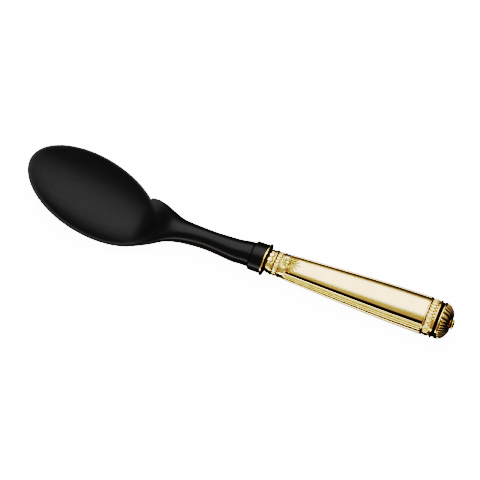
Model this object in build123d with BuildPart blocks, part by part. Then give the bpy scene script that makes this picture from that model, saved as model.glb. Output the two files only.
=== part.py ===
from build123d import *
from math import cos, radians, sin, sqrt
import os

os.makedirs("parts", exist_ok=True)

# A serving spoon: a black horn bowl and neck set in a hollow gilt handle.
# +X runs along the handle to the butt, +Z is up, and the spoon lies on Z = 0.
# The origin is on that plane, under the middle of the spoon's length and width.

# ---- driving dimensions, in millimetres and degrees ----
handle_length = 113.0          # mouth plate to the tip of the finial
bowl_reach = 110.4             # mouth plate to the middle of the bowl
bowl_half_length = 44.5
bowl_half_width = 25.6
bowl_depth = 5.4               # rim plane to the deepest point inside
bowl_wall = 2.0                # at the deepest point
rim_width = 1.3
bulge_rise = 8.0               # rim plane up to the centre of the bowl's curvature
bowl_turn = 14.0               # the bowl's long axis, turned from the handle's
bowl_tilt = 6.6                # the tip is lifted
bowl_side_offset = 2.3         # bowl middle, off the handle's axis

tenon_half_width = 4.4
tenon_half_thickness = 2.0
tenon_length = 13.0
tenon_gap = 0.1
collar_half_width = 9.2
collar_half_thickness = 5.7
collar_length = 7.5
collar_round = 0.7

rod_radius = 1.5
rod_in_horn = 16.0
rod_in_handle = 70.0
rod_gap = 0.05

plate_half_width = 10.6
plate_half_thickness = 6.5
plate_thickness = 1.0
plate_round = 0.35
sleeve_end = 5.3               # where the bolster's concave part stops
sleeve_waist_half_width = 6.0
sleeve_waist_half_thickness = 3.7
sleeve_waist_reach = 1.2       # behind the mouth plate
sleeve_mouth_flare = 1.0
sleeve_seat_half_width = 6.5
sleeve_seat_half_thickness = 3.3
sleeve_spigot = 4.0            # how far it goes into the handle shells

wire_length = 1.0
wire_proud = 0.35              # over the handle beside it
wire_round = 0.3
bolster_band_length = 3.4
band_inset = 0.1               # under the handle beside it

shell_wall = 1.3
groove_depth = 0.6
solder_gap = 0.03
cement_gap = 0.05
panel_share = 0.69             # half of the panel, as a share of the half width
groove_share = 0.74
reed_shares = (0.78, 0.9, 0.97, 1.0)   # edges of the three side reeds; the last is the seam
reed_bulge = 0.25
oval_power = 2.5               # how square the handle's oval is

palmette_start = 13.2
palmette_length = 9.2
palmette_lobes = 9
palmette_spread = 150.0
palmette_height = 0.5
palmette_root = 0.6            # how far down it starts, to meet the panel's crown
palmette_hub_radius = 1.3
lobe_width_share = 0.13
lobe_shortening = 0.5          # at a right angle to the handle

butt_spigot = 4.5
butt_spigot_gap = 0.15
butt_wire_length = 1.2
butt_band_length = 4.4
butt_neck_length = 1.3         # the deep groove before the pommel
butt_neck_inset = 1.6
butt_seat_inset = 0.9
butt_disc_thickness = 1.6
pommel_wire_length = 1.3
dome_length = 6.0
dome_steps = (0, 0.35, 0.62, 0.82, 0.94)
dome_inset = 0.2
dome_shrink = 0.75
finial_length = 1.56
finial_half_width = 3.0
finial_half_thickness = 2.2
finial_top_share = 0.35
peg_radius = 1.5
peg_gap = 0.05

# The handle's half width and half thickness, at even steps from the bolster to the butt.
handle_sections = [(7.7, 4.2), (8.95, 4.9), (10.1, 5.6), (11.0, 6.2), (11.4, 6.6)]
# The neck at even steps from inside the bowl to inside the collar: side offset, height of
# the middle over the table, half width, half thickness.
neck_start = 79.0
neck_overlap = 0.5             # the neck ends this far inside the collar
neck_sections = [
    (-1.6, 3.4, 17.0, 1.6),
    (-0.5, 4.6, 16.3, 2.6),
    (0.1, 5.7, 12.4, 3.6),
    (0.2, 6.8, 8.5, 4.2),
    (0.2, 7.4, 6.8, 4.6),
    (0.1, 7.6, 6.4, 4.7),
    (0.1, 7.5, 6.6, 4.8),
    (0.0, 7.3, 7.0, 4.9),
    (0.0, 7.1, 7.5, 5.1),
    (0.0, 6.95, 7.9, 5.2),
]

# ---- derived places ----
shell_start = sleeve_end + 2 * wire_length + bolster_band_length
finial_start = handle_length - finial_length
dome_start = finial_start - dome_steps[-1] * dome_length
pommel_start = dome_start - pommel_wire_length
butt_rings_length = 2 * butt_wire_length + butt_band_length
butt_start = pommel_start - butt_neck_length - butt_rings_length
neck_end = collar_length - neck_overlap
handle_step = (butt_start - shell_start) / (len(handle_sections) - 1)
handle_stations = [
    (shell_start + index * handle_step, half_width, half_thickness)
    for index, (half_width, half_thickness) in enumerate(handle_sections)
]
front_width, front_thickness = handle_sections[0]
butt_half_width, butt_half_thickness = handle_sections[-1]
axis_height = butt_half_thickness + wire_proud
tilt = radians(bowl_tilt)
turn = radians(bowl_turn)
plan_half_length = bowl_half_length * cos(tilt)
tip_reach = sqrt((plan_half_length * cos(turn)) ** 2 + (bowl_half_width * sin(turn)) ** 2)
overall_length = handle_length + bowl_reach + tip_reach
mouth_x = overall_length / 2 - handle_length
axis_y = -bowl_side_offset
bowl_x = mouth_x - bowl_reach


def station(distance, side=0.0, height=axis_height):
    """A plane across the spoon, at a distance from the mouth plate towards the butt."""
    return Plane(origin=(mouth_x + distance, axis_y + side, height), x_dir=(0, 1, 0), z_dir=(1, 0, 0))


def oval(half_width, half_thickness):
    """A squarish oval, from one quarter mirrored twice."""
    middle = 0.5 ** (1 / oval_power)
    with BuildLine() as outline:
        Spline(
            (half_width, 0),
            (half_width * middle, half_thickness * middle),
            (0, half_thickness),
            tangents=[(0, 1), (-1, 0)],
        )
        mirror(about=Plane.YZ)
        mirror(about=Plane.XZ)
    make_face(outline.edges())


def oval_height(share):
    """Height of the handle's oval at a share of its half width."""
    return (1 - share**oval_power) ** (1 / oval_power)


def shell_half(half_width, half_thickness):
    """The upper half of the handle's section: a crowned panel, two grooves and side reeds."""
    panel = (panel_share * half_width, oval_height(panel_share) * half_thickness)
    foot = (groove_share * half_width, oval_height(groove_share) * half_thickness - groove_depth)
    reeds = [(share * half_width, oval_height(share) * half_thickness) for share in reed_shares]
    with BuildLine() as outline:
        ThreePointArc(panel, (0, half_thickness), (-panel[0], panel[1]))
        for side in (1, -1):
            Line((side * panel[0], panel[1]), (side * foot[0], foot[1]))
            Line((side * foot[0], foot[1]), (side * reeds[0][0], reeds[0][1]))
            for inner, outer in zip(reeds[:-1], reeds[1:]):
                crest = (
                    side * ((inner[0] + outer[0]) / 2 + reed_bulge),
                    (inner[1] + outer[1]) / 2 + reed_bulge,
                )
                ThreePointArc((side * inner[0], inner[1]), crest, (side * outer[0], outer[1]))
        Line((-half_width, 0), (half_width, 0))
    make_face(outline.edges())


def ring(start, length, half_width, half_thickness, seat_width, seat_thickness, edge_round):
    """A rounded oval ring around a seat, as one part."""
    with BuildPart() as made:
        with BuildSketch(station(start)):
            oval(half_width, half_thickness)
        extrude(amount=length)
        if edge_round > 0:
            fillet(made.edges(), radius=edge_round)
        with BuildSketch(station(start)):
            oval(seat_width + solder_gap, seat_thickness + solder_gap)
        extrude(amount=length, mode=Mode.SUBTRACT)
    return made.part


def finish(part, label):
    part.label = label
    export_step(part, f"parts/{label}.step")


# ---- bowl curvature: two ellipsoids with a common centre over the rim ----
def curvature(depth, half_length, half_width):
    """Semi-axes of an ellipsoid that is this deep under the rim and this wide at the rim."""
    drop = bulge_rise + depth
    share = sqrt(1 - (bulge_rise / drop) ** 2)
    return (half_length / share, half_width / share, drop)


outer_axes = curvature(bowl_depth + bowl_wall, bowl_half_length, bowl_half_width)
inner_axes = curvature(bowl_depth, bowl_half_length - rim_width, bowl_half_width - rim_width)
centre_height = sqrt((outer_axes[0] * sin(tilt)) ** 2 + (outer_axes[2] * cos(tilt)) ** 2)
rim_height = centre_height - bulge_rise * cos(tilt)
bowl_plane = Plane(
    origin=(bowl_x, 0, rim_height),
    x_dir=(-cos(turn) * cos(tilt), sin(turn) * cos(tilt), sin(tilt)),
    z_dir=(cos(turn) * sin(tilt), -sin(turn) * sin(tilt), cos(tilt)),
)

with BuildPart() as outer_curve:
    Sphere(outer_axes[0])
    scale(by=(1, outer_axes[1] / outer_axes[0], outer_axes[2] / outer_axes[0]))

with BuildPart() as inner_curve:
    Sphere(inner_axes[0])
    scale(by=(1, inner_axes[1] / inner_axes[0], inner_axes[2] / inner_axes[0]))

# ---- spoon_bowl: bowl, neck, collar and tenon, carved from one piece of horn ----
neck_step = (neck_start - neck_end) / (len(neck_sections) - 1)
with BuildPart() as spoon_neck:
    for index, (side, height, half_width, half_thickness) in enumerate(neck_sections):
        with BuildSketch(station(index * neck_step - neck_start, side, height)):
            Ellipse(half_width, half_thickness)
    loft()

with BuildPart() as spoon_collar:
    with BuildSketch(station(-collar_length)):
        Ellipse(collar_half_width, collar_half_thickness)
    extrude(amount=collar_length)
    fillet(spoon_collar.edges().sort_by(Axis.X)[0], radius=collar_round)
    with BuildSketch(station(0)):
        oval(tenon_half_width, tenon_half_thickness)
    extrude(amount=tenon_length)

with BuildPart() as spoon_bowl:
    with Locations(bowl_plane.offset(bulge_rise)):
        add(outer_curve.part)
    split(bisect_by=bowl_plane, keep=Keep.BOTTOM)
    add(spoon_neck.part)
    add(spoon_collar.part)
    with Locations(bowl_plane.offset(bulge_rise)):
        add(inner_curve.part, mode=Mode.SUBTRACT)
    with BuildSketch(station(-rod_in_horn)):
        Circle(rod_radius + rod_gap)
    extrude(amount=rod_in_horn + tenon_length, mode=Mode.SUBTRACT)
finish(spoon_bowl.part, "spoon_bowl")

# ---- tang_rod: a steel rod from the horn's collar into the handle's filling ----
with BuildPart() as tang_rod:
    with BuildSketch(station(-rod_in_horn)):
        Circle(rod_radius)
    extrude(amount=rod_in_horn + rod_in_handle)
finish(tang_rod.part, "tang_rod")

# ---- mouth_plate: the thin flared plate that the collar sits on ----
with BuildPart() as mouth_plate:
    with BuildSketch(station(0)):
        Ellipse(plate_half_width, plate_half_thickness)
    extrude(amount=plate_thickness)
    fillet(mouth_plate.edges(), radius=plate_round)
    with BuildSketch(station(0)):
        oval(tenon_half_width + tenon_gap, tenon_half_thickness + tenon_gap)
    extrude(amount=plate_thickness, mode=Mode.SUBTRACT)
finish(mouth_plate.part, "mouth_plate")

# ---- bolster_sleeve: concave neck, seat for the wires, and a spigot in the shells ----
spigot_width = front_width - shell_wall - solder_gap
spigot_thickness = front_thickness - shell_wall - solder_gap
sleeve_mouth_half_width = sleeve_waist_half_width + sleeve_mouth_flare
sleeve_mouth_half_thickness = sleeve_waist_half_thickness + sleeve_mouth_flare
with BuildPart() as bolster_sleeve:
    for distance, half_width, half_thickness in (
        (plate_thickness, sleeve_mouth_half_width, sleeve_mouth_half_thickness),
        (plate_thickness + sleeve_waist_reach, sleeve_waist_half_width, sleeve_waist_half_thickness),
        (sleeve_end, front_width, front_thickness),
    ):
        with BuildSketch(station(distance)):
            oval(half_width, half_thickness)
    loft()
    with BuildSketch(station(sleeve_end)):
        oval(sleeve_seat_half_width, sleeve_seat_half_thickness)
    extrude(amount=shell_start - sleeve_end)
    with BuildSketch(station(shell_start)):
        oval(spigot_width, spigot_thickness)
    extrude(amount=sleeve_spigot)
    with BuildSketch(station(plate_thickness)):
        oval(tenon_half_width + tenon_gap, tenon_half_thickness + tenon_gap)
    extrude(amount=shell_start + sleeve_spigot - plate_thickness, mode=Mode.SUBTRACT)
finish(bolster_sleeve.part, "bolster_sleeve")

# ---- bolster wires and leaf band, soldered on the sleeve's seat ----
bolster_rings = (
    ("bolster_wire_front", sleeve_end, wire_length, wire_proud, wire_round),
    ("bolster_leaf_band", sleeve_end + wire_length, bolster_band_length, -band_inset, 0),
    ("bolster_wire_rear", shell_start - wire_length, wire_length, wire_proud, wire_round),
)
for label, start, length, proud, edge_round in bolster_rings:
    made = ring(
        start,
        length,
        front_width + proud,
        front_thickness + proud,
        sleeve_seat_half_width,
        sleeve_seat_half_thickness,
        edge_round,
    )
    finish(made, label)

# ---- handle shells: two struck halves, soldered along the sides ----
with BuildPart() as handle_hollow:
    for distance, half_width, half_thickness in handle_stations:
        with BuildSketch(station(distance)):
            oval(half_width - shell_wall, half_thickness - shell_wall)
    loft()

with BuildPart() as handle_shell_upper:
    for distance, half_width, half_thickness in handle_stations:
        with BuildSketch(station(distance)):
            shell_half(half_width, half_thickness)
    loft()
    add(handle_hollow.part, mode=Mode.SUBTRACT)
finish(handle_shell_upper.part, "handle_shell_upper")

middle_plane = Plane.XY.offset(axis_height)
handle_shell_lower = mirror(handle_shell_upper.part, about=middle_plane)
finish(handle_shell_lower, "handle_shell_lower")

# ---- palmettes: cast fans, soldered on both panels beside the bolster ----
lobe_tip_share = (palmette_start + palmette_length - shell_start) / handle_step
lobe_tip_thickness = front_thickness + lobe_tip_share * (handle_sections[1][1] - front_thickness)
with BuildPart() as palmette_upper:
    with BuildSketch(Plane(origin=(mouth_x + palmette_start, axis_y, axis_height))):
        Circle(palmette_hub_radius)
        for lobe in range(palmette_lobes):
            angle = palmette_spread * (lobe / (palmette_lobes - 1) - 0.5)
            reach = palmette_length * (1 - lobe_shortening * abs(angle) / 90)
            with Locations(Rotation(0, 0, angle) * Pos(reach / 2, 0)):
                Ellipse(reach / 2, lobe_width_share * palmette_length)
    extrude(amount=lobe_tip_thickness + palmette_height)
    add(handle_hollow.part, mode=Mode.SUBTRACT)
    add(handle_shell_upper.part, mode=Mode.SUBTRACT)
    split(bisect_by=middle_plane.offset(front_thickness - palmette_root), keep=Keep.TOP)
finish(palmette_upper.part, "palmette_upper")
palmette_lower = mirror(palmette_upper.part, about=middle_plane)
finish(palmette_lower, "palmette_lower")

# ---- butt_core: closes the handle and carries the butt's rings and the pommel ----
butt_seat_width = butt_half_width - butt_seat_inset
butt_seat_thickness = butt_half_thickness - butt_seat_inset
spigot_inset = shell_wall + butt_spigot_gap
with BuildPart() as butt_core:
    with BuildSketch(station(butt_start - butt_spigot)):
        oval(butt_half_width - spigot_inset, butt_half_thickness - spigot_inset)
    extrude(amount=butt_spigot)
    with BuildSketch(station(butt_start)):
        oval(butt_seat_width, butt_seat_thickness)
    extrude(amount=butt_rings_length)
    with BuildSketch(station(butt_start + butt_rings_length)):
        oval(butt_half_width - butt_neck_inset, butt_half_thickness - butt_neck_inset)
    extrude(amount=butt_neck_length)
    with BuildSketch(station(butt_start - butt_spigot)):
        oval(butt_seat_width - 2 * shell_wall, butt_seat_thickness - 2 * shell_wall)
    extrude(amount=pommel_start - butt_disc_thickness - butt_start + butt_spigot, mode=Mode.SUBTRACT)
    with BuildSketch(station(pommel_start - butt_disc_thickness)):
        Circle(peg_radius + peg_gap)
    extrude(amount=butt_disc_thickness, mode=Mode.SUBTRACT)
finish(butt_core.part, "butt_core")

# ---- butt wires and leaf band ----
butt_core_end = butt_start + butt_rings_length
butt_rings = (
    ("butt_wire_front", butt_start, butt_wire_length, wire_proud, wire_round),
    ("butt_leaf_band", butt_start + butt_wire_length, butt_band_length, -band_inset, 0),
    ("butt_wire_rear", butt_core_end - butt_wire_length, butt_wire_length, wire_proud, wire_round),
)
for label, start, length, proud, edge_round in butt_rings:
    made = ring(
        start,
        length,
        butt_half_width + proud,
        butt_half_thickness + proud,
        butt_seat_width,
        butt_seat_thickness,
        edge_round,
    )
    finish(made, label)

# ---- pommel: a wire, a fluted dome and the finial's button ----
with BuildPart() as pommel_wire:
    with BuildSketch(station(pommel_start)):
        oval(butt_half_width, butt_half_thickness)
    extrude(amount=pommel_wire_length)
    fillet(pommel_wire.edges(), radius=wire_round)
    with BuildSketch(station(pommel_start)):
        Circle(peg_radius + peg_gap)
    extrude(amount=pommel_wire_length, mode=Mode.SUBTRACT)
finish(pommel_wire.part, "pommel_wire")

dome_width = butt_half_width - dome_inset
dome_thickness = butt_half_thickness - dome_inset
with BuildPart() as pommel_dome:
    for height in dome_steps:
        share = sqrt(1 - height**2)
        shrink = dome_width * (1 - share) * dome_shrink
        with BuildSketch(station(dome_start + height * dome_length)):
            oval(dome_width - shrink, dome_thickness - shrink)
    loft()
    with BuildSketch(station(dome_start)):
        Circle(peg_radius + peg_gap)
    extrude(amount=dome_length, mode=Mode.SUBTRACT)
finish(pommel_dome.part, "pommel_dome")

with BuildPart() as finial_button:
    with BuildSketch(station(finial_start)):
        oval(finial_half_width, finial_half_thickness)
    with BuildSketch(station(handle_length)):
        oval(finial_half_width * finial_top_share, finial_half_thickness * finial_top_share)
    loft()
    with BuildSketch(station(pommel_start - butt_disc_thickness)):
        Circle(peg_radius)
    extrude(amount=finial_start - pommel_start + butt_disc_thickness)
finish(finial_button.part, "finial_button")

# ---- handle_filler: cement that holds the rod in the shells ----
filler_start = shell_start + sleeve_spigot + cement_gap
filler_end = butt_start - butt_spigot - cement_gap
with BuildPart() as handle_filler:
    for distance, half_width, half_thickness in handle_stations:
        with BuildSketch(station(distance)):
            oval(half_width - shell_wall - cement_gap, half_thickness - shell_wall - cement_gap)
    loft()
    split(bisect_by=station(filler_start), keep=Keep.TOP)
    split(bisect_by=station(filler_end), keep=Keep.BOTTOM)
    with BuildSketch(station(filler_start)):
        Circle(rod_radius + rod_gap)
    extrude(amount=rod_in_handle - filler_start, mode=Mode.SUBTRACT)
finish(handle_filler.part, "handle_filler")
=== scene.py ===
from math import cos, pi, radians, sin, sqrt

import bmesh
import bpy
import numpy as np
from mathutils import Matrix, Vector


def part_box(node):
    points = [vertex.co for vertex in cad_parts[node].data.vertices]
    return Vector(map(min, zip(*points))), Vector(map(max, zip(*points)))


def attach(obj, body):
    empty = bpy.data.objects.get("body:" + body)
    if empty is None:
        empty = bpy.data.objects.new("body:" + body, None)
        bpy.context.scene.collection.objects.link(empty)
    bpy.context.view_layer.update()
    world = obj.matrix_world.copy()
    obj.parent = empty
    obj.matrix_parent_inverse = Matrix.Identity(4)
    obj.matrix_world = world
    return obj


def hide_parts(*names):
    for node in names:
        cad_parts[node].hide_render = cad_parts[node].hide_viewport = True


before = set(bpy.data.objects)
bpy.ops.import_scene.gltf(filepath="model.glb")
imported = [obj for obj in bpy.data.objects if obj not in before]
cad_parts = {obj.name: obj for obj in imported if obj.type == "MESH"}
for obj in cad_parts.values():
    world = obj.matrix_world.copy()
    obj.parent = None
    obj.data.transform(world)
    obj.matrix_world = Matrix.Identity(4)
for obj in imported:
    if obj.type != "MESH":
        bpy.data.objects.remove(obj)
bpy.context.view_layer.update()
scene = bpy.context.scene
mm = 0.001

# Lengths below are in millimetres. "along" runs from the mouth plate towards the butt,
# "side" across the handle and "up" from its axis.
plateLow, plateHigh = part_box("mouth_plate")
mouthX = plateLow.x / mm
axisY = (plateLow.y + plateHigh.y) / 2 / mm
axisZ = (plateLow.z + plateHigh.z) / 2 / mm
print("frame loaded, mouth plate at", round(mouthX, 2), "mm")


def toRow(along, side, up):
    return np.stack([mouthX + along, axisY + side, axisZ + up], axis=-1)


def startOf(name):
    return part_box(name)[0].x / mm - mouthX


def endOf(name):
    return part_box(name)[1].x / mm - mouthX


def smoothStep(low, high, value):
    share = np.clip((value - low) / (high - low), 0, 1)
    return share * share * share * (share * (6 * share - 15) + 10)


def smoothThrough(stations, values, places):
    # a cubic through given values, with slopes taken from the neighbours
    stations = np.asarray(stations, float)
    values = np.asarray(values, float)
    slopes = np.gradient(values, stations)
    places = np.clip(places, stations[0], stations[-1])
    spot = np.clip(np.searchsorted(stations, places) - 1, 0, len(stations) - 2)
    span = stations[spot + 1] - stations[spot]
    share = (places - stations[spot]) / span
    first = (1 + 2 * share) * (1 - share) ** 2 * values[spot]
    second = share * (1 - share) ** 2 * span * slopes[spot]
    third = share**2 * (3 - 2 * share) * values[spot + 1]
    fourth = share**2 * (share - 1) * span * slopes[spot + 1]
    return first + second + third + fourth


def linearColour(hexText):
    channels = []
    for place in (0, 2, 4):
        value = int(hexText[place:place + 2], 16) / 255
        channels.append(value / 12.92 if value <= 0.04045 else ((value + 0.055) / 1.055) ** 2.4)
    return (*channels, 1.0)


def addNode(tree, kind, settings=None, links=None):
    made = tree.nodes.new(kind)
    for key, value in (settings or {}).items():
        if isinstance(key, int) or key[0].isupper():
            made.inputs[key].default_value = value
        else:
            setattr(made, key, value)
    for key, socket in (links or {}).items():
        tree.links.new(socket, made.inputs[key])
    return made


def addRamp(tree, stops, socket):
    made = addNode(tree, "ShaderNodeValToRGB", {}, {"Fac": socket})
    ramp = made.color_ramp
    while len(ramp.elements) < len(stops):
        ramp.elements.new(0.5)
    for element, (place, colour) in zip(ramp.elements, stops):
        element.position = place
        element.color = colour if len(colour) == 4 else (*colour, 1)
    return made


def grey(value):
    return (value, value, value, 1)


def addMath(tree, operation, *values):
    made = addNode(tree, "ShaderNodeMath", {"operation": operation})
    for spot, value in enumerate(values):
        if isinstance(value, float):
            made.inputs[spot].default_value = value
        else:
            tree.links.new(value, made.inputs[spot])
    return made.outputs[0]


def addSurface(tree, settings, links):
    shader = addNode(tree, "ShaderNodeBsdfPrincipled", settings, links)
    addNode(tree, "ShaderNodeOutputMaterial", {}, {"Surface": shader.outputs["BSDF"]})


def newMaterial(name):
    made = bpy.data.materials.new(name)
    made.use_nodes = True
    made.node_tree.nodes.clear()
    return made, made.node_tree


def ringFaces(ringCount, pointCount, joinEnds=False):
    rings = np.arange(ringCount if joinEnds else ringCount - 1)
    points = np.arange(pointCount)
    ring, point = np.meshgrid(rings, points, indexing="ij")
    after = (point + 1) % pointCount
    following = (ring + 1) % ringCount
    corners = [ring * pointCount + point, ring * pointCount + after]
    corners += [following * pointCount + after, following * pointCount + point]
    return np.stack(corners, axis=-1).reshape(-1, 4).tolist()


def poleFaces(ringStart, pointCount, pole):
    return [(ringStart + point, ringStart + (point + 1) % pointCount, pole) for point in range(pointCount)]


def closedFaces(ringCount, pointCount):
    # rings with a pole at each end; the poles are the last two points
    faces = ringFaces(ringCount, pointCount)
    faces += poleFaces(0, pointCount, ringCount * pointCount)
    return faces + poleFaces((ringCount - 1) * pointCount, pointCount, ringCount * pointCount + 1)


def makePiece(name, points, faces, material, stands, recess=None, sharpAngle=40):
    mesh = bpy.data.meshes.new(name)
    mesh.from_pydata((np.asarray(points) * mm).tolist(), [], faces)
    if recess is not None:
        attribute = mesh.attributes.new("recess", "FLOAT", "POINT")
        attribute.data.foreach_set("value", np.asarray(recess, np.float32).ravel())
    finishPiece(name, mesh, material, stands, sharpAngle)


def finishPiece(name, mesh, material, stands, sharpAngle=40):
    work = bmesh.new()
    work.from_mesh(mesh)
    bmesh.ops.remove_doubles(work, verts=work.verts, dist=1e-7)
    bmesh.ops.recalc_face_normals(work, faces=work.faces)
    work.to_mesh(mesh)
    work.free()
    mesh.polygons.foreach_set("use_smooth", [True] * len(mesh.polygons))
    mesh.set_sharp_from_angle(angle=radians(sharpAngle))
    mesh.materials.clear()
    mesh.materials.append(material)
    mesh.polygons.foreach_set("material_index", [0] * len(mesh.polygons))
    piece = bpy.data.objects.new(name, mesh)
    scene.collection.objects.link(piece)
    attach(piece, "root")
    if stands:
        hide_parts(*stands)


hornLook = {
    "black": "0B0A0A",
    "smoke": "1D1715",
    "streak": "33241C",
    "brushSpacing": 0.45,      # mm between the fine polishing lines
    "streakWidth": 5.0,        # mm across a paler streak of horn
    "satin": 0.36,             # roughness inside the bowl
    "polish": 0.27,            # roughness of the neck and collar
    "grainTurn": radians(14),  # the grain follows the bowl's length
    "streakStretch": 0.12,
    "brushStretch": 0.03,
    "wander": (-0.04, 0.05),   # roughness gained or lost from one line to the next
    "brushDepth": 0.02,        # mm
}


# Water-buffalo horn, sanded and buffed: nearly black, with faint brown streaks along its
# grain. It is satin where the bowl was scraped out and glossy on the buffed neck.
def makeHornMaterial():
    material, tree = newMaterial("buffedBlackHorn")
    place = addNode(tree, "ShaderNodeTexCoord").outputs["Object"]
    grain = addNode(tree, "ShaderNodeMapping",
                    {"Rotation": (0, 0, hornLook["grainTurn"]), "Scale": (hornLook["streakStretch"], 1, 1)},
                    {"Vector": place})
    streaks = addNode(tree, "ShaderNodeTexNoise",
                      {"Scale": 1 / (hornLook["streakWidth"] * mm), "Detail": 4.0, "Roughness": 0.55},
                      {"Vector": grain.outputs["Vector"]})
    colour = addRamp(tree, [(0.38, linearColour(hornLook["black"])), (0.62, linearColour(hornLook["smoke"])),
                            (0.86, linearColour(hornLook["streak"]))], streaks.outputs["Fac"])
    lines = addNode(tree, "ShaderNodeMapping",
                    {"Rotation": (0, 0, hornLook["grainTurn"]), "Scale": (hornLook["brushStretch"], 1, 1)},
                    {"Vector": place})
    brush = addNode(tree, "ShaderNodeTexNoise",
                    {"Scale": 1 / (hornLook["brushSpacing"] * mm), "Detail": 2.0, "Roughness": 0.5},
                    {"Vector": lines.outputs["Vector"]})
    satin = addNode(tree, "ShaderNodeAttribute", {"attribute_name": "recess"})
    level = addNode(tree, "ShaderNodeMapRange",
                    {"To Min": hornLook["polish"], "To Max": hornLook["satin"]},
                    {"Value": satin.outputs["Fac"]})
    least, most = hornLook["wander"]
    wander = addNode(tree, "ShaderNodeMapRange",
                     {"From Min": 0.3, "From Max": 0.7, "To Min": least, "To Max": most},
                     {"Value": brush.outputs["Fac"]})
    rough = addNode(tree, "ShaderNodeMath", {"operation": "ADD"},
                    {0: level.outputs["Result"], 1: wander.outputs["Result"]})
    relief = addNode(tree, "ShaderNodeMath", {"operation": "MULTIPLY"},
                     {0: brush.outputs["Fac"], 1: satin.outputs["Fac"]})
    bump = addNode(tree, "ShaderNodeBump", {"Strength": 0.25, "Distance": hornLook["brushDepth"] * mm},
                   {"Height": relief.outputs["Value"]})
    addSurface(tree, {"IOR": 1.55, "Specular IOR Level": 0.5},
               {"Base Color": colour.outputs["Color"], "Roughness": rough.outputs["Value"],
                "Normal": bump.outputs["Normal"]})
    return material


giltLook = {
    "pale": "FBDEAA",
    "deep": "F6D49A",
    # the near-black that is painted into grooves and corners as shade
    "paintedShadeColour": "120C05",
    "mottle": 7.0,             # mm between warmer and paler areas
    "buffing": 0.25,           # mm between buffing marks
    "recessReach": 0.9,        # mm that the painted shade reaches out of a corner
    "bright": 0.14,            # roughness where the buffing is finest
    "worn": 0.22,
    "buffingStretch": 0.08,
    "buffingDepth": 0.02,      # mm
    "paintedShadeRoughness": 0.45,
}


# Fire-gilt brass, cast or struck and buffed: warm yellow, brightest where it is rubbed,
# with painted shade: its grooves, corners and the gaps between the leaves are darkened towards black.
def makeGiltMaterial(name, look, paintedShadeStrength):
    material, tree = newMaterial(name)
    place = addNode(tree, "ShaderNodeTexCoord").outputs["Object"]
    mottle = addNode(tree, "ShaderNodeTexNoise", {"Scale": 1 / (look["mottle"] * mm), "Detail": 3.0},
                     {"Vector": place})
    gold = addRamp(tree, [(0.3, linearColour(look["deep"])), (0.7, linearColour(look["pale"]))],
                   mottle.outputs["Fac"])
    # painted shade: ambient occlusion and the recess mask darken grooves and corners towards the near-black
    # colour, and make them rougher
    corner = addNode(tree, "ShaderNodeAmbientOcclusion",
                     {"samples": 8, "Distance": look["recessReach"] * mm, "only_local": False})
    exposed = addNode(tree, "ShaderNodeMapRange",
                    {"From Min": 0.35, "From Max": 0.8, "To Min": paintedShadeStrength, "To Max": 0.0},
                    {"Value": corner.outputs["AO"]})
    cut = addNode(tree, "ShaderNodeAttribute", {"attribute_name": "recess"})
    paintedShadeMask = addNode(tree, "ShaderNodeMath", {"operation": "MAXIMUM", "use_clamp": True},
                   {0: exposed.outputs["Result"], 1: cut.outputs["Fac"]})
    colour = addNode(tree, "ShaderNodeMixRGB", {"Color2": linearColour(look["paintedShadeColour"])},
                     {"Fac": paintedShadeMask.outputs["Value"], "Color1": gold.outputs["Color"]})
    marks = addNode(tree, "ShaderNodeMapping", {"Scale": (look["buffingStretch"], 1, 1)}, {"Vector": place})
    buffing = addNode(tree, "ShaderNodeTexNoise", {"Scale": 1 / (look["buffing"] * mm), "Detail": 2.0},
                      {"Vector": marks.outputs["Vector"]})
    polish = addNode(tree, "ShaderNodeMapRange",
                     {"From Min": 0.35, "From Max": 0.65, "To Min": look["bright"], "To Max": look["worn"]},
                     {"Value": buffing.outputs["Fac"]})
    rough = addNode(tree, "ShaderNodeMath", {"operation": "MULTIPLY_ADD", 1: look["paintedShadeRoughness"]},
                    {0: paintedShadeMask.outputs["Value"], 2: polish.outputs["Result"]})
    bump = addNode(tree, "ShaderNodeBump", {"Strength": 0.12, "Distance": look["buffingDepth"] * mm},
                   {"Height": buffing.outputs["Fac"]})
    addSurface(tree, {"Metallic": 1.0},
               {"Base Color": colour.outputs["Color"], "Roughness": rough.outputs["Value"],
                "Normal": bump.outputs["Normal"]})
    return material


cementLook = {"dark": "3A2B20", "light": "5B4735", "grit": 0.6, "gritDepth": 0.1}


# Hard pitch cement, poured: dull brown with a fine grit.
def makeCementMaterial():
    material, tree = newMaterial("pouredPitchCement")
    place = addNode(tree, "ShaderNodeTexCoord").outputs["Object"]
    grit = addNode(tree, "ShaderNodeTexNoise", {"Scale": 1 / (cementLook["grit"] * mm), "Detail": 5.0},
                   {"Vector": place})
    stops = [(0.3, linearColour(cementLook["dark"])), (0.7, linearColour(cementLook["light"]))]
    colour = addRamp(tree, stops, grit.outputs["Fac"])
    bump = addNode(tree, "ShaderNodeBump", {"Strength": 0.4, "Distance": cementLook["gritDepth"] * mm},
                   {"Height": grit.outputs["Fac"]})
    addSurface(tree, {"Roughness": 0.8},
               {"Base Color": colour.outputs["Color"], "Normal": bump.outputs["Normal"]})
    return material


steelLook = {"dark": "77787A", "light": "9A9B9D", "lines": 0.2, "lineStretch": 0.02, "bright": 0.3,
             "dull": 0.5}


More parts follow.
